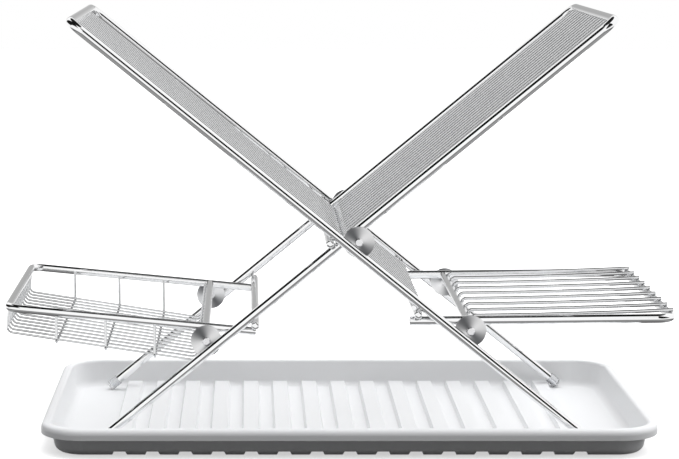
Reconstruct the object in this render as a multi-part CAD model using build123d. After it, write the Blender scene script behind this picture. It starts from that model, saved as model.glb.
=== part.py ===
from build123d import *
import math
import os

# Three-tier folding dish drying rack: two bent-tube frames that cross like scissors, a level shelf
# hinged on the legs of the outer frame, a wire basket hinged on the legs of the inner frame, and a
# moulded tray that the four feet stand in. X runs along the rack, Y from front to back, Z is up.
# The rack stands on Z = 0, and the origin is under the middle of its full length and depth.

# Clearances
seat_gap = 0.05
pin_clearance = 0.05
plate_gap = 0.2
rest_gap = 0.3
overrun = 1.0

# Tube and rod stock
tube_d = 9.0
tube_wall = 1.0
tube_bend = 15.0
basket_tube_d = 8.0
stop_bar_d = 8.0
cross_bar_d = 5.0
hinge_bar_d = 6.6
basket_bar_d = 8.0
plate_wire_d = 2.8
shelf_wire_d = 3.6
floor_wire_d = 2.2
band_wire_d = 2.7

# Frames: the slope of each one, where its feet stand, and lengths down its legs from the main pins
rack_height = 422.0
outer_top_drop = 1.1
outer_slope = 39.0
inner_slope = 39.6
outer_foot_from_end = 59.7
inner_foot_from_end = 52.08
foot_side_gap = 8.0
main_pin_offset = 8.8
outer_wire_count = 17
outer_wire_edge = 21.7
outer_wire_drop = 2.8
outer_wire_down_leg = 90.5
outer_bar_down_leg = 80.6
inner_wire_count = 16
inner_wire_edge = 17.8
inner_wire_down_leg = 4.5
inner_bar_down_leg = 2.0

# Hinge plates and rivets
plate_d = 30.0
plate_t = 1.2
plate_rim = 1.6
plate_dish = 0.4
rivet_d = 5.0
rivet_head_d = 8.2
rivet_head_t = 3.0
rivet_head_bevel = 0.9

# Right shelf
right_pin_down_leg = 138.3
right_pin_offset = 9.8
shelf_rail_offset = 9.3
shelf_tilt = 0.6
shelf_inner_reach = 58.0
shelf_outer_reach = 196.0
shelf_bar_back = 3.0
shelf_wire_count = 9
shelf_wire_edge = 10.0
shelf_wire_bend = 4.5
shelf_wire_tail = 7.0
shelf_wire_crown = 3.4

# Left basket
left_pin_down_leg = 175.3
left_pin_offset = 8.8
basket_rail_offset = 12.8
basket_tilt = 5.5
basket_inner_reach = 47.0
basket_outer_reach = 194.5
basket_bar_back = 2.0
basket_end_depth = 25.5
basket_hinge_depth = 36.2
basket_bend = 13.0
floor_wire_count = 15
floor_wire_edge = 10.2
floor_wire_bend = 6.0
floor_wire_above = 2.0
band_wire_bend = 4.0
band_first_reach = 148.0
band_pitch = 48.0
band_wire_count = 3

# Stop bars and foot caps
stop_bar_round = 2.4
stop_bar_proud = 1.0
cap_wall = 0.8
cap_grip = 9.0
cap_dome = 2.5
cap_end = 1.5

# Tray
tray_length = 600.0
tray_depth = 340.0
tray_height = 29.0
tray_corner = 42.0
tray_wall = 1.8
basin_floor_inset = 15.5
basin_rim_inset = 10.0
basin_inner_fillet = 8.0
basin_outer_fillet = 9.0
lip_height = 10.5
lip_round = 6.0
lip_inner_round = 3.0
lip_pocket_round = 3.0
rib_count = 15
rib_from_end = 77.75
rib_top_width = 15.0
rib_foot_width = 20.0
rib_height = 5.0
groove_top_width = 11.0
groove_foot_width = 15.0
groove_height = 4.7

FRONT = -1
REAR = 1
SIDES = ((FRONT, "front"), (REAR, "rear"))
tube_r = tube_d / 2
plate_stack = 2 * plate_t + plate_gap + 2 * seat_gap
outer_half_width = tray_depth / 2 - basin_floor_inset - foot_side_gap
inner_half_width = outer_half_width - tube_d - plate_stack
shelf_half_width = inner_half_width
basket_half_width = inner_half_width - tube_r - plate_stack - basket_tube_d / 2


def sin(degrees):
    return math.sin(math.radians(degrees))


def cos(degrees):
    return math.cos(math.radians(degrees))


def tan(degrees):
    return math.tan(math.radians(degrees))


def place(x, z, y=0):
    return Vector(x, y, z)


def spread(count, reach):
    """Even places across the middle, with the outermost at the reach on each side."""
    return [reach * (2 * i / (count - 1) - 1) for i in range(count)]


def foot_rise(slope):
    """Height of a foot cap's shoulder above the lowest point of its dome."""
    cap_r = tube_r + seat_gap + cap_wall
    sphere_r = (cap_r ** 2 + cap_dome ** 2) / (2 * cap_dome)
    dome_low = sphere_r - (sphere_r - cap_dome) * sin(slope)
    return max(dome_low, cap_r * cos(slope))


def main_pins():
    """Height of the main pins, and their distance from the tray's middle.

    Both legs of the scissors reach the tray's floor at their own distance from its ends.
    """
    offset = main_pin_offset
    outer_foot = tray_wall + rest_gap + foot_rise(outer_slope)
    inner_foot = tray_wall + rest_gap + foot_rise(inner_slope)
    span = tray_length - outer_foot_from_end - inner_foot_from_end
    outer_part = (outer_foot + offset * cos(outer_slope)) / tan(outer_slope)
    inner_part = (inner_foot - offset * cos(inner_slope)) / tan(inner_slope)
    lean = offset * (sin(outer_slope) - sin(inner_slope))
    height = (span + lean + outer_part + inner_part) / (1 / tan(outer_slope) + 1 / tan(inner_slope))
    outer_run = (height - outer_foot - offset * cos(outer_slope)) / tan(outer_slope)
    return height, tray_length / 2 - outer_foot_from_end + offset * sin(outer_slope) - outer_run


pin_height, pin_from_tray_middle = main_pins()

# Directions: up each frame, and from the pins square across to its tubes
outer_up = place(-cos(outer_slope), sin(outer_slope))
outer_across = place(-sin(outer_slope), -cos(outer_slope))
inner_up = place(cos(inner_slope), sin(inner_slope))
inner_across = place(-sin(inner_slope), cos(inner_slope))
shelf_out = place(cos(shelf_tilt), sin(shelf_tilt))
shelf_up = place(-sin(shelf_tilt), cos(shelf_tilt))
basket_out = place(-cos(basket_tilt), sin(basket_tilt))
basket_up = place(sin(basket_tilt), cos(basket_tilt))
toward_back = Vector(0, 1, 0)

# Steps from the main pins to the other pins and to the ends of the shelf and the basket, which
# set where the main pins stand over the middle of the full length
right_pin_step = outer_across * (main_pin_offset - right_pin_offset) - outer_up * right_pin_down_leg
left_pin_step = inner_across * (main_pin_offset + left_pin_offset) - inner_up * left_pin_down_leg
right_end_step = right_pin_step + shelf_out * shelf_outer_reach + shelf_up * shelf_rail_offset
left_end_step = left_pin_step + basket_out * basket_outer_reach + basket_up * basket_rail_offset
right_end = right_end_step.X + tube_r
left_end = left_end_step.X - basket_tube_d / 2
main_pin = place(-(right_end + left_end) / 2, pin_height)
right_pin = main_pin + right_pin_step
left_pin = main_pin + left_pin_step
tray_middle = main_pin.X - pin_from_tray_middle


def on_outer(up, across=0, y=0):
    """A point on the outer frame, measured from its tube axis beside the main pins."""
    return main_pin + outer_up * up + outer_across * (main_pin_offset + across) + toward_back * y


def on_inner(up, across=0, y=0):
    """A point on the inner frame, measured from its tube axis beside the main pins."""
    return main_pin + inner_up * up + inner_across * (main_pin_offset + across) + toward_back * y


def on_shelf(out, up=0, y=0):
    """A point on the right shelf, measured from its rail axis above the right pins."""
    return right_pin + shelf_out * out + shelf_up * (shelf_rail_offset + up) + toward_back * y


def on_basket(out, up=0, y=0):
    """A point on the left basket, measured from its rail axis above the left pins."""
    return left_pin + basket_out * out + basket_up * (basket_rail_offset + up) + toward_back * y


def rod(start, end, diameter):
    run = end - start
    return Solid.make_cylinder(diameter / 2, run.length, Plane(origin=start, z_dir=run))


def bent_tube(points, diameter, bend):
    path = FilletPolyline(*points, radius=bend)
    face = Plane(origin=path @ 0, z_dir=path % 0)
    section = face * (Circle(diameter / 2) - Circle(diameter / 2 - tube_wall))
    return sweep(section, path=path)


def bent_wire(points, diameter, bend):
    path = FilletPolyline(*points, radius=bend)
    return sweep(Plane(origin=path @ 0, z_dir=path % 0) * Circle(diameter / 2), path=path)


def reach_to_tube(wire_d, off_axis, target_d):
    """How far short of a round tube's axis a square-cut wire end stops."""
    near_side = max(0, abs(off_axis) - wire_d / 2)
    return math.sqrt((target_d / 2 + seat_gap) ** 2 - near_side ** 2)


def bar_between(point, on_tube_axis, along, half_width, diameter, rail_d=tube_d):
    """A round bar from the front tube to the rear tube, its ends cut to fit around their flanks."""
    bar = rod(point - toward_back * half_width, point + toward_back * half_width, diameter)
    for y in (-half_width, half_width):
        middle = on_tube_axis + toward_back * y
        bar -= rod(middle - along * rail_d, middle + along * rail_d, rail_d + 2 * seat_gap)
    return bar.solids().sort_by(SortBy.VOLUME)[-1]


def stop_bar(point, half_width):
    """A bar with rounded ends that lies across both tubes and stands a little proud of them."""
    half = half_width + tube_r + stop_bar_proud
    bar = rod(point - toward_back * half, point + toward_back * half, stop_bar_d)
    return fillet(bar.edges().filter_by(GeomType.CIRCLE), stop_bar_round)


def frame_tube(on_frame, foot, arm, half_width):
    corners = [
        on_frame(foot, 0, -half_width), on_frame(arm, 0, -half_width),
        on_frame(arm, 0, half_width), on_frame(foot, 0, half_width),
    ]
    return bent_tube(corners, tube_d, tube_bend)


def plate_wires(on_frame, count, reach, low, arm, across):
    """Straight wires in a row, from below a cross bar up to the frame's top bar."""
    high = arm - reach_to_tube(plate_wire_d, across, tube_d)
    wires = [
        rod(on_frame(low, across, y), on_frame(high, across, y), plate_wire_d)
        for y in spread(count, reach)
    ]
    return Compound(wires)


def leg_end(slope, axis_height):
    """Distance down a leg from the main pins to the shoulder of its cap."""
    floor = tray_wall + rest_gap
    return (axis_height - floor - foot_rise(slope)) / sin(slope)


outer_shoulder = leg_end(outer_slope, on_outer(0).Z)
inner_shoulder = leg_end(inner_slope, on_inner(0).Z)
outer_arm = (rack_height - outer_top_drop - tube_r - on_outer(0).Z) / sin(outer_slope)
inner_arm = (rack_height - tube_r - on_inner(0).Z) / sin(inner_slope)


def foot_cap(on_frame, shoulder, y):
    """A plastic sleeve with a domed end, pushed over the end of a leg."""
    bore_r = tube_r + seat_gap
    cap_r = bore_r + cap_wall
    length = cap_grip + cap_end
    outline = (
        Line((bore_r, 0), (cap_r, 0)) + Line((cap_r, 0), (cap_r, length))
        + ThreePointArc((cap_r, length), dome_middle(cap_r, length), (0, length + cap_dome))
        + Line((0, length + cap_dome), (0, cap_grip))
        + Line((0, cap_grip), (bore_r, cap_grip)) + Line((bore_r, cap_grip), (bore_r, 0))
    )
    cap = revolve(make_face(outline), Axis.Y)
    mouth = on_frame(length - shoulder, 0, y)
    down = on_frame(-shoulder, 0, y) - mouth
    return Plane(origin=mouth, z_dir=down) * Rot(X=90) * cap


def dome_middle(cap_r, length):
    sphere_r = (cap_r ** 2 + cap_dome ** 2) / (2 * cap_dome)
    half_angle = math.degrees(math.asin(cap_r / sphere_r)) / 2
    return (sphere_r * sin(half_angle), length + cap_dome - sphere_r * (1 - cos(half_angle)))


def hinge_plate(pin, flank, outward, side):
    """A round pressed plate with a shallow dish, lying against a tube's flank.

    flank is the tube flank's distance from the middle of the rack. outward tells that the tube and
    the dish are on the outer side, else they are on the inner side.
    """
    hole_r = rivet_d / 2 + pin_clearance
    outer_r = plate_d / 2
    seat_r = rivet_head_d / 2 + rest_gap
    outline = Polyline(
        (hole_r, 0), (outer_r, 0), (outer_r, plate_t), (outer_r - plate_rim, plate_t),
        (seat_r, plate_t - plate_dish), (hole_r, plate_t - plate_dish), close=True,
    )
    plate = revolve(make_face(outline), Axis.Y)
    if outward:
        plate = Pos(0, flank - seat_gap - plate_t, 0) * plate
    else:
        plate = Pos(0, flank + seat_gap + plate_t, 0) * mirror(plate, Plane.XZ)
    return on_side(plate, pin, side)


def rivet(pin, outer_flank, side):
    """A rivet with a head on each side of a pair of hinge plates."""
    outer_face = outer_flank - plate_dish
    inner_face = outer_flank - plate_stack + plate_dish
    shaft = rod(toward_back * inner_face, toward_back * outer_face, rivet_d)
    far_head = rod(toward_back * outer_face, toward_back * (outer_face + rivet_head_t), rivet_head_d)
    near_head = rod(toward_back * inner_face, toward_back * (inner_face - rivet_head_t), rivet_head_d)
    far_head = chamfer(far_head.edges().group_by(Axis.Y)[-1], rivet_head_bevel)
    near_head = chamfer(near_head.edges().group_by(Axis.Y)[0], rivet_head_bevel)
    return on_side(shaft + far_head + near_head, pin, side)


def on_side(shape, pin, side):
    if side == FRONT:
        shape = mirror(shape, Plane.XZ)
    return Pos(pin.X, 0, pin.Z) * shape


def cross_offset(first_point, first_up, first_side, reach_first, second_point, second_up, second_side,
                 reach_second):
    """Where a line moved sideways from one tube meets a line moved sideways from another."""
    a = first_point + first_side * reach_first
    b = second_point + second_side * reach_second
    turn = first_up.X * second_up.Z - first_up.Z * second_up.X
    gap = b - a
    along = (gap.X * second_up.Z - gap.Z * second_up.X) / turn
    return a + first_up * along


under_tube = tube_r + stop_bar_d / 2 + rest_gap
on_tube = tube_r + stop_bar_d / 2 + seat_gap
on_basket_tube = basket_tube_d / 2 + stop_bar_d / 2 + seat_gap
main_stop = cross_offset(
    on_outer(0), outer_up, outer_across, under_tube, on_inner(0), inner_up, inner_across, on_tube)
right_stop = cross_offset(
    on_outer(0), outer_up, outer_across, under_tube, on_shelf(0), shelf_out, shelf_up, on_tube)
left_stop = cross_offset(
    on_inner(0), inner_up, inner_across, -under_tube, on_basket(0), basket_out, basket_up,
    on_basket_tube)


def shelf_rail():
    half = shelf_half_width
    inner = -shelf_inner_reach
    corners = [on_shelf(inner, 0, -half), on_shelf(shelf_outer_reach, 0, -half),
               on_shelf(shelf_outer_reach, 0, half), on_shelf(inner, 0, half)]
    return bent_tube(corners, tube_d, tube_bend)


def basket_rail():
    half = basket_half_width
    inner = -basket_inner_reach
    corners = [on_basket(inner, 0, -half), on_basket(basket_outer_reach, 0, -half),
               on_basket(basket_outer_reach, 0, half), on_basket(inner, 0, half)]
    return bent_tube(corners, basket_tube_d, basket_bend)


def shelf_wire(y):
    """A wire welded to the hinge bar, bent over it and arched to lie on the end tube."""
    beside_bar = -shelf_bar_back + hinge_bar_d / 2 + shelf_wire_d / 2 + seat_gap
    over_tube = tube_r + shelf_wire_d / 2 + seat_gap
    bend_top = over_tube - shelf_wire_crown
    low = on_shelf(beside_bar, bend_top - shelf_wire_tail, y)
    turn = on_shelf(beside_bar, bend_top - shelf_wire_bend, y)
    level = on_shelf(beside_bar + shelf_wire_bend, bend_top, y)
    tip = on_shelf(shelf_outer_reach + shelf_wire_d / 2, over_tube, y)
    riser = Line(low, turn)
    corner = TangentArc(turn, level, tangent=shelf_up)
    crown = TangentArc(level, tip, tangent=corner % 1)
    path = riser + corner + crown
    face = Plane(origin=low, z_dir=shelf_up)
    return sweep(face * Circle(shelf_wire_d / 2), path=path)


def shelf_wires():
    reach = shelf_half_width - shelf_wire_edge
    return Compound([shelf_wire(y) for y in spread(shelf_wire_count, reach)])


def basket_floor(out):
    """Depth of the floor wires' axis under the rail axis, at a distance out from the hinge bar."""
    near = basket_floor_start()
    share = (out - near) / (basket_outer_reach - near)
    return basket_hinge_depth + (basket_end_depth - basket_hinge_depth) * share


def basket_floor_start():
    return basket_bar_back + basket_bar_d / 2 + floor_wire_d / 2 + seat_gap


def floor_wire(y):
    """A wire from the hinge bar down, out along the basket's floor and up to the end tube."""
    near = basket_floor_start()
    far = basket_outer_reach
    end_top = -basket_tube_d / 2 - seat_gap
    points = [on_basket(near, floor_wire_above, y), on_basket(near, -basket_hinge_depth, y),
              on_basket(far, -basket_end_depth, y), on_basket(far, end_top, y)]
    return bent_wire(points, floor_wire_d, floor_wire_bend)


def floor_wires():
    reach = basket_half_width - floor_wire_edge
    return Compound([floor_wire(y) for y in spread(floor_wire_count, reach)])


def band_wire(out):
    """A wire from the front rail down, under the floor wires and up to the rear rail."""
    half = basket_half_width - basket_tube_d / 2 - band_wire_d / 2 - seat_gap
    under = basket_floor(out) + band_clearance()
    foot = out - under * tan(basket_tilt)
    points = [on_basket(out, 0, -half), on_basket(foot, -under, -half),
              on_basket(foot, -under, half), on_basket(out, 0, half)]
    return bent_wire(points, band_wire_d, band_wire_bend)


def band_clearance():
    """Drop from the sloping floor wires to a band wire that crosses under them."""
    rise = (basket_hinge_depth - basket_end_depth) / (basket_outer_reach - basket_floor_start())
    lean = math.sqrt(1 + rise ** 2)
    slip = rise * basket_hinge_depth * tan(basket_tilt)
    return (floor_wire_d / 2 + band_wire_d / 2 + seat_gap) * lean + slip


def band_wires():
    places = [band_first_reach - i * band_pitch for i in range(band_wire_count)]
    return Compound([band_wire(out) for out in places])


def rounded_block(inset, corner, low, high, taper=0):
    size_x = tray_length - 2 * inset
    size_y = tray_depth - 2 * inset
    base = Pos(tray_middle, 0, low) * RectangleRounded(size_x, size_y, corner)
    return extrude(base, amount=high - low, taper=taper)


def trapezoid_bar(foot_width, top_width, low, high, offset):
    x = tray_middle + offset
    outline = Polyline(
        (x - foot_width / 2, low), (x + foot_width / 2, low),
        (x + top_width / 2, high), (x - top_width / 2, high), close=True,
    )
    return extrude(Plane.XZ * make_face(outline), amount=tray_depth / 2, both=True)


def tray():
    """A moulded basin with a rolled lip and a floor pressed into ribs that run front to back."""
    flare = (basin_floor_inset - basin_rim_inset) / (tray_height - tray_wall)
    lean = math.degrees(math.atan(flare))
    skin = tray_wall / cos(lean)
    outer_inset = basin_floor_inset - skin + tray_wall * flare
    inner_corner = tray_corner - basin_floor_inset
    outer_corner = tray_corner - outer_inset
    pocket_top = tray_height - tray_wall
    basin = rounded_block(outer_inset, outer_corner, 0, tray_height, -lean)
    basin = fillet(basin.edges().group_by(Axis.Z)[0], basin_outer_fillet)
    cavity = rounded_block(basin_floor_inset, inner_corner, tray_wall, tray_height + overrun, -lean)
    cavity = fillet(cavity.edges().group_by(Axis.Z)[0], basin_inner_fillet)
    lip = rounded_block(0, tray_corner, tray_height - lip_height, tray_height)
    lip = fillet(lip.edges().group_by(Axis.Z)[-1], lip_round)
    pocket = rounded_block(
        tray_wall, tray_corner - tray_wall, tray_height - lip_height - overrun, pocket_top)
    pocket = fillet(pocket.edges().group_by(Axis.Z)[-1], lip_pocket_round)
    shell = (lip - pocket) + basin - cavity
    rim_edge = [e for e in shell.edges().filter_by(Plane.XY)
                if abs(e.center().Z - tray_height) < seat_gap and is_inner_edge(e)]
    shell = fillet(rim_edge, lip_inner_round)
    rib_top = tray_wall + rib_height
    rib_places = spread(rib_count, tray_length / 2 - rib_from_end)
    for x in rib_places:
        rib = trapezoid_bar(rib_foot_width, rib_top_width, tray_wall / 2, rib_top, x)
        shell += rib & basin
    for x in rib_places:
        shell -= trapezoid_bar(groove_foot_width, groove_top_width, 0, groove_height, x)
    return shell


def is_inner_edge(edge):
    box = edge.bounding_box()
    reach = basin_rim_inset / 2
    inside_x = max(tray_middle - box.min.X, box.max.X - tray_middle) < tray_length / 2 - reach
    inside_y = max(abs(box.min.Y), abs(box.max.Y)) < tray_depth / 2 - reach
    return inside_x and inside_y and max(box.size.X, box.size.Y) > tray_wall


def add_frames(nodes):
    """The two leg frames, their rows of wires, cross bars, stop bar and foot caps."""
    nodes["outer_frame_tube"] = frame_tube(on_outer, cap_end - outer_shoulder, outer_arm, outer_half_width)
    nodes["inner_frame_tube"] = frame_tube(on_inner, cap_end - inner_shoulder, inner_arm, inner_half_width)
    under_wires = (plate_wire_d + cross_bar_d) / 2 + seat_gap
    outer_bar = -outer_bar_down_leg
    inner_bar = -inner_bar_down_leg
    nodes["outer_cross_bar"] = bar_between(
        on_outer(outer_bar, outer_wire_drop + under_wires), on_outer(outer_bar), outer_up,
        outer_half_width, cross_bar_d)
    nodes["inner_cross_bar"] = bar_between(
        on_inner(inner_bar, -under_wires), on_inner(inner_bar), inner_up, inner_half_width, cross_bar_d)
    nodes["outer_plate_wires"] = plate_wires(
        on_outer, outer_wire_count, outer_half_width - outer_wire_edge, -outer_wire_down_leg,
        outer_arm, outer_wire_drop)
    nodes["inner_plate_wires"] = plate_wires(
        on_inner, inner_wire_count, inner_half_width - inner_wire_edge, -inner_wire_down_leg,
        inner_arm, 0)
    nodes["frame_stop_bar"] = stop_bar(main_stop, outer_half_width)
    for side, name in SIDES:
        nodes["outer_foot_cap_" + name] = foot_cap(on_outer, outer_shoulder, side * outer_half_width)
        nodes["inner_foot_cap_" + name] = foot_cap(on_inner, inner_shoulder, side * inner_half_width)


def add_shelf(nodes):
    """The right shelf: a bent rail, a hinge bar, arched wires and a stop bar."""
    hinge_place = on_shelf(-shelf_bar_back)
    nodes["shelf_rail"] = shelf_rail()
    nodes["shelf_hinge_bar"] = bar_between(
        hinge_place, hinge_place, shelf_out, shelf_half_width, hinge_bar_d)
    nodes["shelf_wires"] = shelf_wires()
    nodes["shelf_stop_bar"] = stop_bar(right_stop, outer_half_width)


def add_basket(nodes):
    """The left basket: a bent rail, a hinge bar, two rows of wires and a stop bar."""
    hinge_place = on_basket(basket_bar_back)
    nodes["basket_rail"] = basket_rail()
    nodes["basket_hinge_bar"] = bar_between(
        hinge_place, hinge_place, basket_out, basket_half_width, basket_bar_d, basket_tube_d)
    nodes["basket_floor_wires"] = floor_wires()
    nodes["basket_band_wires"] = band_wires()
    nodes["basket_stop_bar"] = stop_bar(left_stop, inner_half_width)


def add_hinges(nodes):
    """Six hinges, each with two pressed plates and the rivet that joins them."""
    outer_flank = outer_half_width - tube_r
    inner_flank = inner_half_width - tube_r
    beside_inner = outer_flank - plate_stack
    beside_basket = inner_flank - plate_stack
    for side, name in SIDES:
        nodes["outer_main_hinge_plate_" + name] = hinge_plate(main_pin, outer_flank, True, side)
        nodes["inner_main_hinge_plate_" + name] = hinge_plate(main_pin, beside_inner, False, side)
        nodes["outer_shelf_hinge_plate_" + name] = hinge_plate(right_pin, outer_flank, True, side)
        nodes["shelf_hinge_plate_" + name] = hinge_plate(right_pin, beside_inner, False, side)
        nodes["inner_basket_hinge_plate_" + name] = hinge_plate(left_pin, inner_flank, True, side)
        nodes["basket_hinge_plate_" + name] = hinge_plate(left_pin, beside_basket, False, side)
        nodes["main_rivet_" + name] = rivet(main_pin, outer_flank, side)
        nodes["shelf_rivet_" + name] = rivet(right_pin, outer_flank, side)
        nodes["basket_rivet_" + name] = rivet(left_pin, inner_flank, side)


def build_nodes():
    nodes = {"drip_tray": tray()}
    add_frames(nodes)
    add_shelf(nodes)
    add_basket(nodes)
    add_hinges(nodes)
    return nodes


def main():
    os.makedirs("parts", exist_ok=True)
    for name, shape in build_nodes().items():
        export_step(shape, "parts/" + name + ".step")
    for name, pin in (("main", main_pin), ("right", right_pin), ("left", left_pin)):
        print(name, "pin at x", round(pin.X, 3), "z", round(pin.Z, 3))
    print("tray middle at x", round(tray_middle, 3), "floor at z", tray_wall)
    print("half widths", outer_half_width, round(inner_half_width, 3), round(basket_half_width, 3))


main()
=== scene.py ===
# %% [markdown]
# # A three-tier folding dish drying rack
#
# Two chromed tube frames cross like scissors and carry a panel of wires each. A level shelf and a
# wire basket hang on their legs, and the four feet stand in a white moulded tray. The solids come
# ready made, at their real size, so this lesson is about finishes: how plated steel, a turned
# hinge plate and soft white plastic each answer the light, and how the room around a mirror gives
# it its dark lines.

# %% Load the rack
import bpy
import math
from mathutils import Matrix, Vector

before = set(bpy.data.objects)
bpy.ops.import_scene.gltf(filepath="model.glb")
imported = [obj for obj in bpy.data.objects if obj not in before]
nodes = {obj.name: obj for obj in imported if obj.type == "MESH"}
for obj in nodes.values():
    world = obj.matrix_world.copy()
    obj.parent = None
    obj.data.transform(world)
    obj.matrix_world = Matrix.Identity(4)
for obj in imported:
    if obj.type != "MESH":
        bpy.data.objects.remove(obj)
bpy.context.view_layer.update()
print("pieces in the rack:", len(nodes))

# %% [markdown]
# ## Small helpers for node graphs
#
# A Blender material is a graph of nodes, and so is the world around the scene. These helpers add a
# node to either, join its sockets and stretch a pattern to the values that are wanted.

# %% Graph helpers
def join(owner, output, socket):
    owner.node_tree.links.new(output, socket)


def add_node(owner, kind, *sources, **settings):
    """Adds a node to a material or a world and joins the sources to its first inputs in turn."""
    node = owner.node_tree.nodes.new("ShaderNode" + kind)
    for name, value in settings.items():
        setattr(node, name, value)
    for source, socket in zip(sources, node.inputs):
        join(owner, source, socket)
    return node


def set_inputs(node, values):
    """Sets the named inputs of a node to fixed values."""
    for name, value in values.items():
        node.inputs[name].default_value = value


def number_step(owner, operation, *values):
    """One step of arithmetic on plain numbers."""
    return add_node(owner, "Math", *values, operation=operation).outputs["Value"]


def spread_values(owner, source, low, high, start=0.0, end=1.0):
    """Turns a pattern that runs from start to end into one that runs from low to high."""
    spread = add_node(owner, "MapRange", source)
    set_inputs(spread, {"From Min": start, "From Max": end, "To Min": low, "To Max": high})
    return spread.outputs["Result"]


print("graph helpers are ready")

# %% [markdown]
# ## Small helpers for finishes
#
# One Principled shader gives nearly every real surface; what differs is what feeds its colour, its
# roughness and its bump. Each helper here feeds one of them, so that a finish reads as a short
# recipe. The patterns are laid out in metres, in the rack's own frame, so a grain keeps its real
# size on a long tube and on a short bar alike.

# %% Finish helpers
def new_finish(name):
    finish = bpy.data.materials.new(name)
    finish.use_nodes = True
    finish.node_tree.nodes.clear()
    shader = add_node(finish, "BsdfPrincipled")
    add_node(finish, "OutputMaterial", shader.outputs["BSDF"])
    return finish, shader


def noise(finish, scale, detail=2.0, rough=0.5):
    """A cloudy 0 to 1 pattern; a larger scale makes smaller clouds."""
    cloud = add_node(finish, "TexNoise", add_node(finish, "TexCoord").outputs["Object"])
    set_inputs(cloud, {"Scale": scale, "Detail": detail, "Roughness": rough})
    return cloud.outputs["Fac"]


def colour_by(finish, shader, pattern, dark, light):
    """Lets a 0 to 1 pattern move the colour between two shades."""
    shade = add_node(finish, "ValToRGB", pattern)
    for stop, colour in zip(shade.color_ramp.elements, (dark, light)):
        stop.color = (*colour, 1)
    join(finish, shade.outputs["Color"], shader.inputs["Base Color"])


def roughen_by(finish, shader, pattern, low, high):
    """Lets a 0 to 1 pattern move the roughness between two values."""
    join(finish, spread_values(finish, pattern, low, high), shader.inputs["Roughness"])


def bump_by(finish, target, pattern, depth, strength=1.0):
    """Presses a pattern into a shader or into another bump, as deep as depth in metres."""
    bump = add_node(finish, "Bump")
    set_inputs(bump, {"Strength": strength, "Distance": depth})
    join(finish, pattern, bump.inputs["Height"])
    join(finish, bump.outputs["Normal"], target.inputs["Normal"])
    return bump


print("finish helpers are ready")

# %% [markdown]
# ## Polished chrome
#
# Chrome plate is a mirror with a faint cool tint. On a real tube it is never perfect: the polishing
# wheel leaves a haze that comes and goes, and water leaves a few dull patches. A perfect mirror
# could be made with roughness zero everywhere, but it looks like plastic film, so the roughness
# wanders between a bright and a hazy value, and a very shallow ripple bends the reflections. The
# thin wires have the cleanest mirror, and their colour is darker as painted shade: it stands in for
# the shade between the close-set wires. The bars across the frames are polished least, so they are
# the haziest.

# %% Chrome finishes
RIPPLE_SCALE = 320.0


def chrome(name, dark, light, smooth, hazy, patch_scale, ripple_depth):
    finish, shader = new_finish(name)
    patches = noise(finish, patch_scale, detail=3.0, rough=0.6)
    colour_by(finish, shader, patches, dark, light)
    roughen_by(finish, shader, patches, smooth, hazy)
    shader.inputs["Metallic"].default_value = 1.0
    bump_by(finish, shader, noise(finish, RIPPLE_SCALE, detail=1.0), ripple_depth)
    return finish


tube_chrome = chrome(
    "tube_chrome", dark=(0.84, 0.845, 0.85), light=(0.90, 0.90, 0.905),
    smooth=0.02, hazy=0.05, patch_scale=24.0, ripple_depth=0.000010)
# The wires' darker colour is painted shade, for the shade between the close-set wires.
wire_chrome = chrome(
    "wire_chrome", dark=(0.68, 0.685, 0.695), light=(0.78, 0.785, 0.79),
    smooth=0.0, hazy=0.02, patch_scale=60.0, ripple_depth=0.000001)
bar_chrome = chrome(
    "bar_chrome", dark=(0.84, 0.845, 0.85), light=(0.89, 0.89, 0.895),
    smooth=0.06, hazy=0.12, patch_scale=40.0, ripple_depth=0.000010)
print("chrome finishes:", tube_chrome.name, wire_chrome.name, bar_chrome.name)

# %% [markdown]
# ## Turned hinge plates
#
# The hinge plates are faced on a lathe, so they carry fine rings about the rivet. Such a surface
# spreads a highlight across its grooves and shows a bright fan that turns with the light. Blender
# gives this with anisotropy and a tangent that runs round the plate. Among soft white panels that
# fan stays faint, so it is partly painted too: the colour goes light and dark twice about the
# rivet, and this part doesn't turn with the light. The rings are a very shallow bump. Each plate's
# own box gives the middle of both patterns, so one finish fits all plates.

# %% Patterns of a turned plate
RING_SCALE = 9.0
RING_WOBBLE = 0.6
PLATE_MIDDLE = (0.5, 0.5, 0.5)


def ring_pattern(finish):
    """A 0 to 1 pattern of rings about the plate's middle."""
    centred = add_node(finish, "Mapping", add_node(finish, "TexCoord").outputs["Generated"])
    centred.inputs["Location"].default_value = (-PLATE_MIDDLE[0], 0.0, -PLATE_MIDDLE[2])
    wave = add_node(finish, "TexWave", centred.outputs["Vector"],
                    wave_type="RINGS", rings_direction="Y")
    set_inputs(wave, {"Scale": RING_SCALE, "Distortion": RING_WOBBLE, "Detail": 2.0})
    return wave.outputs["Fac"]


def painted_fan_pattern(finish, bright_angle):
    """A 0 to 1 pattern that goes light and dark twice about the plate's middle: a painted highlight
    fan with painted shade between.
    """
    centred = add_node(finish, "VectorMath", add_node(finish, "TexCoord").outputs["Generated"],
                       operation="SUBTRACT")
    centred.inputs[1].default_value = PLATE_MIDDLE
    sides = add_node(finish, "SeparateXYZ", centred.outputs["Vector"]).outputs
    angle = number_step(finish, "ARCTAN2", sides["Z"], sides["X"])
    twice = add_node(finish, "Math", angle, operation="MULTIPLY_ADD")
    twice.inputs[1].default_value = 2.0
    twice.inputs[2].default_value = -2.0 * bright_angle
    wave = number_step(finish, "COSINE", twice.outputs["Value"])
    return spread_values(finish, wave, low=0, high=1, start=-1)


print("plate patterns are ready")

# %% Plate finish
PAINTED_FAN_ANGLE = math.radians(35)


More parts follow.
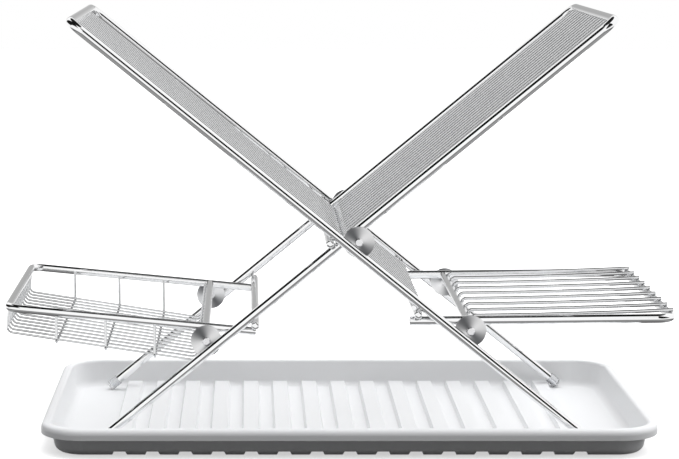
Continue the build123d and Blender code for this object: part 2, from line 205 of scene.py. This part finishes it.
def turned_steel():
    finish, shader = new_finish("turned_steel")
    rings = ring_pattern(finish)
    # The colour follows the painted fan: painted highlight and painted shade, which don't move with
    # the light.
    colour_by(finish, shader, painted_fan_pattern(finish, PAINTED_FAN_ANGLE),
              dark=(0.17, 0.173, 0.18), light=(0.97, 0.97, 0.975))
    roughen_by(finish, shader, rings, low=0.30, high=0.42)
    set_inputs(shader, {"Metallic": 1.0, "Anisotropic": 0.85})
    tangent = add_node(finish, "Tangent", direction_type="RADIAL", axis="Y")
    join(finish, tangent.outputs["Tangent"], shader.inputs["Tangent"])
    bump_by(finish, shader, rings, depth=0.00002)
    return finish


plate_steel = turned_steel()
print("plate finish:", plate_steel.name)

# %% [markdown]
# ## Satin rivets
#
# The rivet heads are pressed to shape and never polished. They could share the plates' finish, but
# then each would show rings that a pressed head doesn't have, so they get a fine even grain.

# %% Rivet finish
def satin_steel():
    finish, shader = new_finish("satin_rivet_steel")
    grain = noise(finish, scale=900.0)
    colour_by(finish, shader, grain, dark=(0.78, 0.78, 0.79), light=(0.86, 0.86, 0.87))
    roughen_by(finish, shader, grain, low=0.22, high=0.34)
    shader.inputs["Metallic"].default_value = 1.0
    bump_by(finish, shader, grain, depth=0.00001)
    return finish


rivet_steel = satin_steel()
print("rivet finish:", rivet_steel.name)

# %% [markdown]
# ## White tray plastic and clear foot caps
#
# The tray is moulded in white polypropylene: soft gloss, a trace of light under the skin, and a
# very fine texture from the mould, with broad shallow sink marks that bend its reflections. One
# bump could hold both, but two in a row keep the broad and the fine one apart. The foot caps are
# pushed-on sleeves in a clear plastic, which needs transmission and not just a pale colour.

# %% Plastic finishes
PLASTIC_IOR = 1.49
SKIN_DEPTH = 0.004


def tray_plastic():
    finish, shader = new_finish("white_tray_plastic")
    broad = noise(finish, scale=9.0)
    fine = noise(finish, scale=1400.0)
    colour_by(finish, shader, broad, dark=(0.845, 0.85, 0.86), light=(0.875, 0.88, 0.885))
    roughen_by(finish, shader, fine, low=0.26, high=0.38)
    set_inputs(shader, {"IOR": PLASTIC_IOR, "Subsurface Weight": 0.05,
                        "Subsurface Radius": (SKIN_DEPTH, SKIN_DEPTH, SKIN_DEPTH)})
    sink_marks = bump_by(finish, shader, broad, depth=0.0004)
    bump_by(finish, sink_marks, fine, depth=0.00001, strength=0.5)
    return finish


def cap_plastic():
    finish, shader = new_finish("clear_cap_plastic")
    cloud = noise(finish, scale=220.0)
    colour_by(finish, shader, cloud, dark=(0.90, 0.91, 0.93), light=(0.96, 0.965, 0.97))
    roughen_by(finish, shader, cloud, low=0.03, high=0.09)
    set_inputs(shader, {"IOR": PLASTIC_IOR, "Transmission Weight": 0.9})
    bump_by(finish, shader, cloud, depth=0.00002)
    return finish


tray_white = tray_plastic()
cap_clear = cap_plastic()
print("plastic finishes:", tray_white.name, cap_clear.name)

# %% [markdown]
# ## Dress the solids
#
# Each solid keeps its mesh and only takes a better finish. The names say what each piece is, so a
# short list of word and finish is enough. The first word that a name holds decides, and the empty
# word at the end takes up the bent tubes, which are all that is left.

# %% Give each solid its finish
FINISH_BY_WORD = (
    ("tray", tray_white), ("foot_cap", cap_clear), ("hinge_plate", plate_steel),
    ("rivet", rivet_steel), ("wires", wire_chrome), ("stop_bar", bar_chrome),
    ("hinge_bar", bar_chrome), ("cross_bar", bar_chrome), ("", tube_chrome),
)

for name, solid in nodes.items():
    finish = next(finish for word, finish in FINISH_BY_WORD if word in name)
    if not solid.material_slots:
        solid.data.materials.append(finish)
    for slot in solid.material_slots:
        slot.material = finish
print("dressed solids:", len(nodes))

# %% [markdown]
# ## Floor
#
# The photograph has a white ground with no horizon. The floor is a pale plane that adds a little
# glow of its own where the camera looks straight at it, so that it meets the white world without
# a seam, and it still darkens under the tray. Light that bounces off it onto the rack is kept
# weak, as from a table top that is small, because a bright one would light the tray from below.
# Mirrors don't see it at all: the grey at the foot of the world takes its place.

# %% Floor
FLOOR_HALF = 6.0
FLOOR_ROUGHNESS = 0.9
FLOOR_GLOW = 0.56
FLOOR_BOUNCE = 0.13


def pale_floor():
    finish, shader = new_finish("pale_floor")
    colour_by(finish, shader, noise(finish, scale=2.0),
              dark=(0.78, 0.78, 0.78), light=(0.80, 0.80, 0.80))
    set_inputs(shader, {"Roughness": FLOOR_ROUGHNESS, "Specular IOR Level": 0.0})
    glow = add_node(finish, "Emission")
    glow.inputs["Strength"].default_value = FLOOR_GLOW
    shown = add_node(finish, "AddShader", shader.outputs["BSDF"], glow.outputs["Emission"])
    bounce = add_node(finish, "BsdfDiffuse")
    bounce.inputs["Color"].default_value = (FLOOR_BOUNCE, FLOOR_BOUNCE, FLOOR_BOUNCE, 1)
    seen = add_node(finish, "LightPath").outputs["Is Camera Ray"]
    either = add_node(finish, "MixShader", seen, bounce.outputs["BSDF"], shown.outputs["Shader"])
    surface = next(n for n in finish.node_tree.nodes if n.type == "OUTPUT_MATERIAL")
    join(finish, either.outputs["Shader"], surface.inputs["Surface"])
    return finish


bpy.ops.mesh.primitive_plane_add(size=2 * FLOOR_HALF, location=(0, 0, 0))
floor = bpy.context.active_object
floor.name = "floor"
floor.data.materials.append(pale_floor())
floor.visible_glossy = False
print("floor is", 2 * FLOOR_HALF, "m wide")

# %% [markdown]
# ## The room that the chrome mirrors
#
# Chrome shows only what stands around it, so this room does more for the picture than any lamp. A
# studio photographer sets soft white panels all about the thing and leaves one dark gap between
# them, and that gap is the crisp black line along each tube. The room could be built of real
# planes, but a world made of tones by direction is smoother and casts no stray light. A direction
# has three parts, each from -1 to 1: to the right, to the back and up.
#
# The panels come first. Below the horizon they fall off to grey, which draws the dark lower edge
# of every tube. The gap is a band about a slanted circle. It stops at the horizon, and it is
# closed near the middle, straight in front of the rack, behind it and above it.

# %% White panels and the dark gap
HEIGHT_STOPS = (
    (-1.0, 0.14), (-0.85, 0.16), (-0.78, 0.30), (-0.56, 0.30), (-0.50, 0.14), (-0.38, 0.14),
    (-0.28, 0.95), (1.0, 1.0),
)
GAP_ACROSS = (-0.452, -0.683, -0.574)
GAP_DARK = 0.35
GAP_FADE = 0.40
GAP_TONE = 0.01
GAP_FOOT = 0.05
GAP_CLOSED = 0.16
GAP_OPEN = 0.30


def white_panels(world, sides):
    """The tone by height, with a grey stop for each height of HEIGHT_STOPS."""
    ramp_node = add_node(
        world, "ValToRGB", spread_values(world, sides["Z"], low=0, high=1, start=-1))
    ramp = ramp_node.color_ramp
    while len(ramp.elements) > 1:
        ramp.elements.remove(ramp.elements[-1])
    for index, (height, tone) in enumerate(HEIGHT_STOPS):
        position = (height + 1) / 2
        stop = ramp.elements[0] if index == 0 else ramp.elements.new(position)
        stop.position = position
        stop.color = (tone, tone, tone, 1)
    return ramp_node.outputs["Color"]


def dark_gap(world, direction, sides):
    """Nearly 0 in the gap, and 1 beside it, below the horizon and near the middle."""
    across = add_node(world, "VectorMath", direction, operation="DOT_PRODUCT")
    across.inputs[1].default_value = GAP_ACROSS
    from_gap = number_step(world, "ABSOLUTE", across.outputs["Value"])
    beside = spread_values(
        world, from_gap, low=GAP_TONE, high=1, start=GAP_DARK, end=GAP_FADE)
    below = spread_values(world, sides["Z"], low=1, high=0, start=0, end=GAP_FOOT)
    from_middle = number_step(world, "ABSOLUTE", sides["X"])
    middle = spread_values(
        world, from_middle, low=1, high=0, start=GAP_CLOSED, end=GAP_OPEN)
    return number_step(world, "MAXIMUM", number_step(world, "MAXIMUM", beside, below), middle)


print("heights with a tone of their own:", len(HEIGHT_STOPS))

# %% [markdown]
# Two more tones darken the panels. A long dark patch overhead, narrow from side to side, is what
# the upper flanks of the tubes mirror. Straight behind the rack the room is grey, paler near the
# foot, which dims the outline of each tube, where a mirror is seen nearly edge on.

# %% Patch overhead and wall behind
CEILING_MIDDLE = (0.0, 0.216, 0.976)
CEILING_NARROW = 1.5
CEILING_DARK = 0.66
CEILING_FADE = 0.74
BEHIND_EDGE = 0.90
BEHIND_FULL = 0.97
WALL_FOOT = -0.12
WALL_TOP = 0.10
WALL_FOOT_TONE = 0.85
WALL_TOP_TONE = 0.42


def ceiling_patch(world, direction):
    """Nearly 0 in a long patch overhead, and 1 outside it."""
    away = add_node(world, "VectorMath", direction, operation="SUBTRACT")
    away.inputs[1].default_value = CEILING_MIDDLE
    shaped = add_node(world, "VectorMath", away.outputs["Vector"], operation="MULTIPLY")
    shaped.inputs[1].default_value = (CEILING_NARROW, 1, 1)
    reach = add_node(world, "VectorMath", shaped.outputs["Vector"], operation="LENGTH")
    return spread_values(world, reach.outputs["Value"], low=GAP_TONE, high=1,
                         start=CEILING_DARK, end=CEILING_FADE)


def wall_behind(world, sides):
    """The grey of the wall straight behind the rack, and 1 elsewhere."""
    grey = spread_values(world, sides["Z"], low=WALL_FOOT_TONE, high=WALL_TOP_TONE,
                         start=WALL_FOOT, end=WALL_TOP)
    on_wall = spread_values(
        world, sides["Y"], low=0, high=1, start=BEHIND_EDGE, end=BEHIND_FULL)
    wall = add_node(world, "Mix", on_wall)
    wall.inputs["A"].default_value = 1
    join(world, grey, wall.inputs["B"])
    return wall.outputs["Result"]


print("wall behind goes from", WALL_FOOT_TONE, "to", WALL_TOP_TONE)

# %% [markdown]
# Matt surfaces, such as the tray, don't mirror the room but gather light from all of it. One light
# for both could be used, but then the dark lines of the chrome and the shade of the tray couldn't
# be set apart. So matt surfaces get a light of their own. It grows towards the top, as from one
# large panel overhead, it is weak in front, and it is stronger from the right than from the left.

# %% Light for matt surfaces
FILL_TINT = (0.985, 0.99, 1.0, 1)
FILL_BELOW = 0.07
FILL_ABOVE = 2.2
FILL_FRONT = 0.02
FILL_LEFT = 0.35
FILL_RIGHT = 1.70


def matt_fill(world, sides):
    """A soft light that is strongest overhead, weak in front and stronger from the right."""
    fill = add_node(world, "Background")
    fill.inputs["Color"].default_value = FILL_TINT
    overhead = spread_values(world, sides["Z"], low=FILL_BELOW, high=FILL_ABOVE)
    from_front = spread_values(world, sides["Y"], low=FILL_FRONT, high=1, start=-1, end=0)
    from_side = spread_values(world, sides["X"], low=FILL_LEFT, high=FILL_RIGHT, start=-1)
    uneven = number_step(world, "MULTIPLY", from_front, from_side)
    join(world, number_step(world, "MULTIPLY", overhead, uneven), fill.inputs["Strength"])
    return fill.outputs["Background"]


print("matt light from", FILL_BELOW, "below to", FILL_ABOVE, "overhead")

# %% [markdown]
# The world asks of each ray what it is. A ray that a mirror sends out sees the room, one from a
# matt surface sees the matt light, and the camera, also through the clear caps, sees plain white.

# %% Put the world together
PANEL_GLOW = 1.12


def darkened(world, tone, by_tone):
    """Two tones multiplied, so that either can darken the other."""
    product = add_node(world, "VectorMath", tone, by_tone, operation="MULTIPLY")
    return product.outputs["Vector"]


def studio_world():
    world = bpy.data.worlds.new("studio")
    bpy.context.scene.world = world
    world.use_nodes = True
    world.node_tree.nodes.clear()
    direction = add_node(world, "TexCoord").outputs["Generated"]
    sides = add_node(world, "SeparateXYZ", direction).outputs

    room = darkened(world, white_panels(world, sides), dark_gap(world, direction, sides))
    room = darkened(world, room, ceiling_patch(world, direction))
    room = darkened(world, room, wall_behind(world, sides))
    mirrored = add_node(world, "Background", room)
    mirrored.inputs["Strength"].default_value = PANEL_GLOW
    white = add_node(world, "Background")
    white.inputs["Color"].default_value = (1, 1, 1, 1)

    ray = add_node(world, "LightPath").outputs
    lit = add_node(world, "MixShader", ray["Is Glossy Ray"], matt_fill(world, sides),
                   mirrored.outputs["Background"])
    plain = number_step(world, "MAXIMUM", ray["Is Camera Ray"], ray["Is Transmission Ray"])
    whole = add_node(world, "MixShader", plain, lit.outputs["Shader"],
                     white.outputs["Background"])
    add_node(world, "OutputWorld", whole.outputs["Shader"])
    return world


studio = studio_world()
print("world", studio.name, "has", len(studio.node_tree.nodes), "nodes")

# %% [markdown]
# ## Lamp
#
# One large soft lamp hangs over the rack. It shades the tray and the floor only: mirrors don't see
# it, since a bright rectangle would show on every tube, where the real ones mirror broad panels.

# %% Lamp overhead
LAMP_PLACE = (0.1, 0.1, 1.9)
LAMP_AIM = (0, 0, 0.1)
LAMP_WIDTH = 1.6
LAMP_DEPTH = 1.2
LAMP_WATTS = 9

light = bpy.data.lights.new("top_panel", "AREA")
light.shape = "RECTANGLE"
light.size = LAMP_WIDTH
light.size_y = LAMP_DEPTH
light.energy = LAMP_WATTS
lamp = bpy.data.objects.new("top_panel", light)
bpy.context.scene.collection.objects.link(lamp)
lamp.location = LAMP_PLACE
lamp.rotation_euler = (Vector(LAMP_AIM) - Vector(LAMP_PLACE)).to_track_quat("-Z", "Y").to_euler()
lamp.visible_glossy = False
print("lamp:", lamp.name, LAMP_WATTS, "W")

# %% [markdown]
# ## Camera
#
# The camera stands a little left of the middle, half a metre up and looks down by eight degrees
# through a long lens. Its small shift puts the rack where the photograph's frame has it: the
# lens looks at column AXIS_X of the frame, and not at its middle.

# %% Camera
CAMERA_PLACE = (-0.08882, -2.22127, 0.52212)
LOOKING_DOWN = math.radians(8.303)
SENSOR_MM = 36.0
FOCAL_PIXELS = 2200.0
FRAME_WIDTH = 679.0
AXIS_X = 248.1

camera_data = bpy.data.cameras.new("camera")
camera = bpy.data.objects.new("camera", camera_data)
bpy.context.scene.collection.objects.link(camera)
camera.location = CAMERA_PLACE
camera.rotation_euler = (math.pi / 2 - LOOKING_DOWN, 0, 0)
camera_data.sensor_width = SENSOR_MM
camera_data.lens = FOCAL_PIXELS / FRAME_WIDTH * SENSOR_MM
camera_data.shift_x = (FRAME_WIDTH / 2 - AXIS_X) / FRAME_WIDTH
bpy.context.scene.camera = camera
bpy.context.scene.view_settings.view_transform = "Standard"
print("lens:", round(camera_data.lens, 1), "mm")
